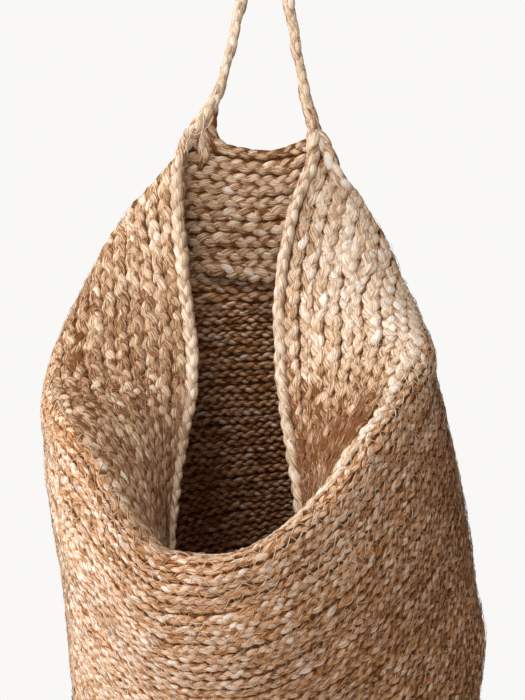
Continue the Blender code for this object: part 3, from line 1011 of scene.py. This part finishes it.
# How high the thread lies at a turn and at the quarters of a stitch, in plait widths
thread_rise = np.array((0.14, 0.29, 0.325, 0.29))
steps_in_stitch = len(thread_rise)
thread_clearance = 0.0002
seam_points = 361
turn_scatter = 0.32
place_scatter = 0.26
buried_depth = 0.22
bold_rise = 0.05
bold_swell = 0.3
# Drifts of the thread: how many of its points each one lasts, and how far it goes
rise_drift = (9, 0.08)
bury_drift = (26, 0.8)
radius_drift = (40, 0.2)
pale_drift = (14, 0.34)


def zigzag(bundle, course, reach, stitch, plait_courses, pale, bold):
    """One row of stitches over the seam at a course. bold is how far it stands clear."""
    path = wall_place(np.linspace(0, 1, seam_points), np.full(seam_points, course))[0]
    length = np.linalg.norm(np.diff(path, axis=0), axis=1).sum()
    stitches = 2 * round(length / stitch / 2)
    turn_at = np.arange(stitches)
    side = np.where(turn_at % 2 == 0, -1, 1) * (1 + chance.normal(0, turn_scatter, stitches))
    place = turn_at + chance.normal(0, place_scatter, stitches)
    step = np.arange(stitches * steps_in_stitch) / steps_in_stitch
    low = step.astype(int)
    mix = step - low
    nxt = (low + 1) % stitches
    ahead = np.where(low + 1 == stitches, stitches + place[0], place[nxt])
    way = (place[low] * (1 - mix) + ahead * mix) / stitches
    at = course + reach * (side[low] * (1 - mix) + side[nxt] * mix)
    middle, _, out, pitch = wall_place(way, at)
    rise = np.tile(thread_rise, stitches) * (1 + drift(len(step), *rise_drift))
    deep = np.clip(2 * drift(len(step), *bury_drift) - 0.5, 0, 1)
    rise = rise - buried_depth * (1 - bold) * deep + bold_rise * bold
    middle = middle + out * (pitch * plait_courses * rise + thread_clearance)[:, None]
    heading = unit(np.roll(middle, -1, 0) - np.roll(middle, 1, 0))
    across = unit(np.cross(out, heading))
    radius = thread_radius * (1 + bold_swell * bold + drift(len(middle), *radius_drift))
    strand = strand_mesh(middle, across, out, radius, radius, thread_sides, True)
    bundle.add(*strand, pale + np.repeat(drift(len(middle), *pale_drift), thread_sides))


body_stitch = 0.0062
bold_stitch = 0.0014
bold_rows = 8
rows_in_group = 14
for group in range(3):
    stitches = Bundle()
    first_row = group * rows_in_group
    for step in range(first_row, min(first_row + rows_in_group, body_courses - 1)):
        stands = max(0, 1 - step / bold_rows)
        zigzag(
            stitches, cuff_courses + 1 + step, 0.50, body_stitch + bold_stitch * stands, 1.0,
            0.45 + 0.45 * stands, stands,
        )
    stitches.piece(f"body_stitches_{group + 1}", thread_finish, "basket", "lower_wall")
cuff_stitch = 0.0078
stitches = Bundle()
# The cuff's stitches are painted dark, as painted shade where the cuff lies in shade; the last one,
# over the lip, is pale.
for step in range(cuff_rings - 1):
    seam = cuff_spacing * (step + 0.5)
    zigzag(stitches, seam, 0.32, cuff_stitch, 0.97 * cuff_spacing, 0.25, -0.5)
zigzag(stitches, cuff_courses, 0.46, cuff_stitch, 1.1, 0.95, 1)
stitches.piece("cuff_stitches", thread_finish, "basket", "upper_cuff")

# Loose ends and fibres. Four ends of sewing thread are left long where the strap
# meets the left side. Dry hemp also sheds: thin split fibres lie over the plaits in
# all directions, a few dark scraps of bark among them.
straw_finish = hemp_finish(
    "loose_fibre", (0.15, 0.050, 0.015), (0.55, 0.30, 0.14), (0.92, 0.80, 0.66), 0.66
)
thread_ends = (
    ((-0.050, -0.007, 0.026), (-0.059, -0.010, 0.010),
     (-0.065, -0.010, -0.004), (-0.069, -0.009, -0.012)),
    ((-0.046, -0.007, 0.012), (-0.050, -0.011, 0.002),
     (-0.061, -0.010, -0.006), (-0.067, -0.009, -0.001)),
    ((-0.055, -0.008, 0.018), (-0.053, -0.012, 0.004),
     (-0.058, -0.011, -0.010), (-0.055, -0.009, -0.022)),
    ((-0.069, -0.008, 0.002), (-0.073, -0.011, -0.004),
     (-0.067, -0.011, -0.012), (-0.071, -0.009, -0.020)),
)
end_count = 24
end_radius = np.full(end_count, 0.00044)
ends = Bundle()
for places in thread_ends:
    middle = drawn_line(places, end_count, 12) - (0, 0, hinge_drop)
    heading = unit(np.gradient(middle, axis=0))
    across = unit(np.cross(front, heading))
    strand = strand_mesh(
        middle, across, np.cross(heading, across), end_radius, end_radius, 5, False
    )
    ends.add(*strand, np.full(len(strand[0]), 0.95))
blend_at_root(ends.piece("left_root_thread_ends", straw_finish, None, "handle_loop"))

fibre_steps = 6
fibre_slant = 1.25
fibre_bend = 0.9
fibre_bed = 0.315
fibre_arch = 0.0005
fibre_clearance = 0.0001
fibre_tip_rise = 0.0012
fibre_sizes = (0.6, 1.3)
right_side_shade = 0.3
way_round = 1.08


def scatter(name, count, ways, courses, face, length, radius, tones, node):
    """Loose fibres over one face of the wall: face 1 is the outer and -1 the inner."""
    t = np.linspace(0, 1, fibre_steps)
    way = chance.uniform(*ways, count)
    course = chance.uniform(*courses, count)
    angle = chance.uniform(-fibre_slant, fibre_slant, count)
    angle = angle + np.where(chance.uniform(0, 1, count) < 0.5, math.pi, 0)
    bend = chance.normal(0, fibre_bend, count)
    stride = (chance.uniform(*length, count) / (fibre_steps - 1))[:, None]
    turned = angle[:, None] + bend[:, None] * t
    way = way[:, None] + np.cumsum(np.cos(turned) * stride, 1) / way_round
    course = course[:, None] + np.cumsum(np.sin(turned) * stride, 1) / thin_pitch
    middle, _, out, pitch = wall_place(way.ravel(), np.clip(course, *courses).ravel())
    arch = np.tile(fibre_clearance + fibre_arch * np.sin(math.pi * t), count)
    tips = np.repeat(chance.uniform(0, 1, count) ** 4 * fibre_tip_rise, fibre_steps)
    rise = pitch * fibre_bed + arch + tips * np.tile(t, count)
    middle = (middle + out * (face * rise)[:, None]).reshape(count, fibre_steps, 3)
    out = out.reshape(count, fibre_steps, 3)
    across = unit(np.cross(out, unit(np.gradient(middle, axis=1))))
    shape = np.sin(math.pi * np.clip(t, 0.06, 0.94)) ** 0.5
    bundle = Bundle()
    for index in range(count):
        wide = radius * chance.uniform(*fibre_sizes) * shape
        strand = strand_mesh(middle[index], across[index], out[index], wide, wide, 3, False)
        sidewise = strand[0][:, 0] / basket_radius
        # Painted shade and light: the fibres are darker to the right and paler to the left.
        bundle.add(*strand, chance.uniform(*tones) - right_side_shade * sidewise)
    bundle.piece(name, straw_finish, "basket", node)


# Name, number, shares round the wall, courses, face, lengths, radius, tones and node
for scattered in (
    ("loose_fibres_body", 4600, (0, 1), (10.5, 51), 1,
     (0.003, 0.011), 0.00017, (-0.6, 1.15), "lower_wall"),
    ("loose_fibres_front", 4200, (0.46, 0.80), (11.5, 51), 1,
     (0.003, 0.010), 0.00015, (-0.1, 1.1), "lower_wall"),
    ("loose_fibres_cuff", 1300, (0, 1), (0.3, 10.5), 1,
     (0.003, 0.010), 0.00016, (-0.5, 0.9), "upper_cuff"),
    ("loose_fibres_inside", 1100, (0, 1), (0.3, 40), -1,
     (0.005, 0.014), 0.00017, (-0.5, 0.9), "lower_wall"),
    ("bark_scraps", 220, (0, 1), (11.5, 51), 1,
     (0.002, 0.006), 0.00042, (-1.2, -0.7), "lower_wall"),
):
    scatter(*scattered)

# Stage and lights. A plain pale room, with a pale floor below the hanging basket,
# soft light from the left and from above the front, and the camera level with the
# strap's roots, as in the photograph.
floor_half = 6.0
floor_level = cad_box[0][2] - 0.12
floor_mesh = bpy.data.meshes.new("floor")
floor_mesh.from_pydata(
    [(-floor_half, -floor_half, floor_level), (floor_half, -floor_half, floor_level),
     (floor_half, floor_half, floor_level), (-floor_half, floor_half, floor_level)],
    [], [(0, 1, 2, 3)],
)
floor = bpy.data.objects.new("floor", floor_mesh)
bpy.context.scene.collection.objects.link(floor)
floor_paint = bpy.data.materials.new("pale_floor")
floor_paint.use_nodes = True
board = floor_paint.node_tree
paint = board.nodes["Principled BSDF"]
paint.inputs["Base Color"].default_value = (0.86, 0.85, 0.84, 1)
paint.inputs["Roughness"].default_value = 0.9
glow = board.nodes.new("ShaderNodeEmission")
glow.inputs["Color"].default_value = (0.76, 0.75, 0.735, 1)
seen_by = board.nodes.new("ShaderNodeLightPath")
share = board.nodes.new("ShaderNodeMath")
share.operation = "MULTIPLY"
share.inputs[1].default_value = 0.75
mixed = board.nodes.new("ShaderNodeMixShader")
board.links.new(seen_by.outputs["Is Camera Ray"], share.inputs[0])
board.links.new(share.outputs[0], mixed.inputs["Fac"])
board.links.new(paint.outputs["BSDF"], mixed.inputs[1])
board.links.new(glow.outputs["Emission"], mixed.inputs[2])
board.links.new(mixed.outputs["Shader"], board.nodes["Material Output"].inputs["Surface"])
floor_mesh.materials.append(floor_paint)

world = bpy.data.worlds.new("pale_room")
bpy.context.scene.world = world
world.use_nodes = True
room = world.node_tree
sky = room.nodes["Background"]
sky.inputs["Color"].default_value = (1.0, 0.90, 0.80, 1)
sky.inputs["Strength"].default_value = 0.29
seen = room.nodes.new("ShaderNodeBackground")
seen.inputs["Color"].default_value = (0.947, 0.939, 0.922, 1)
seen.inputs["Strength"].default_value = 1.0
rays = room.nodes.new("ShaderNodeLightPath")
choose = room.nodes.new("ShaderNodeMixShader")
room.links.new(rays.outputs["Is Camera Ray"], choose.inputs["Fac"])
room.links.new(sky.outputs["Background"], choose.inputs[1])
room.links.new(seen.outputs["Background"], choose.inputs[2])
room.links.new(choose.outputs["Shader"], room.nodes["World Output"].inputs["Surface"])

basket_middle = Vector((0, 0, (cad_box[0][2] + cad_box[1][2]) / 2))


def soft_lamp(name, place, width, power, colour):
    lamp = bpy.data.lights.new(name, "AREA")
    lamp.shape = "SQUARE"
    lamp.size = width
    lamp.energy = power
    lamp.color = colour
    made = bpy.data.objects.new(name, lamp)
    bpy.context.scene.collection.objects.link(made)
    made.location = place
    made.rotation_euler = (basket_middle - made.location).to_track_quat("-Z", "Y").to_euler()


soft_lamp("window_light", (-2.15, -0.70, 0.30), 1.1, 48, (1.0, 0.98, 0.96))
soft_lamp("front_fill", (-0.81, -2.24, 1.74), 1.3, 60, (1.0, 0.97, 0.94))

camera_distance = 2.3
camera_lift = math.radians(4.0)
view_centre = np.array([0, 0, -0.185])
pixels_across = 525
pixels_in_metre = 1150
sensor_width = 36
camera_data = bpy.data.cameras.new("camera")
camera_data.sensor_fit = "HORIZONTAL"
camera_data.sensor_width = sensor_width
camera_data.lens = sensor_width * camera_distance / (pixels_across / pixels_in_metre)
camera = bpy.data.objects.new("camera", camera_data)
bpy.context.scene.collection.objects.link(camera)
camera_place = view_centre + camera_distance * np.array(
    [0, -math.cos(camera_lift), math.sin(camera_lift)]
)
camera.location = hung(camera_place)
aim = Vector(hung(view_centre)) - camera.location
camera.rotation_euler = aim.to_track_quat("-Z", "Y").to_euler()
bpy.context.scene.camera = camera
bpy.context.scene.view_settings.view_transform = "Standard"
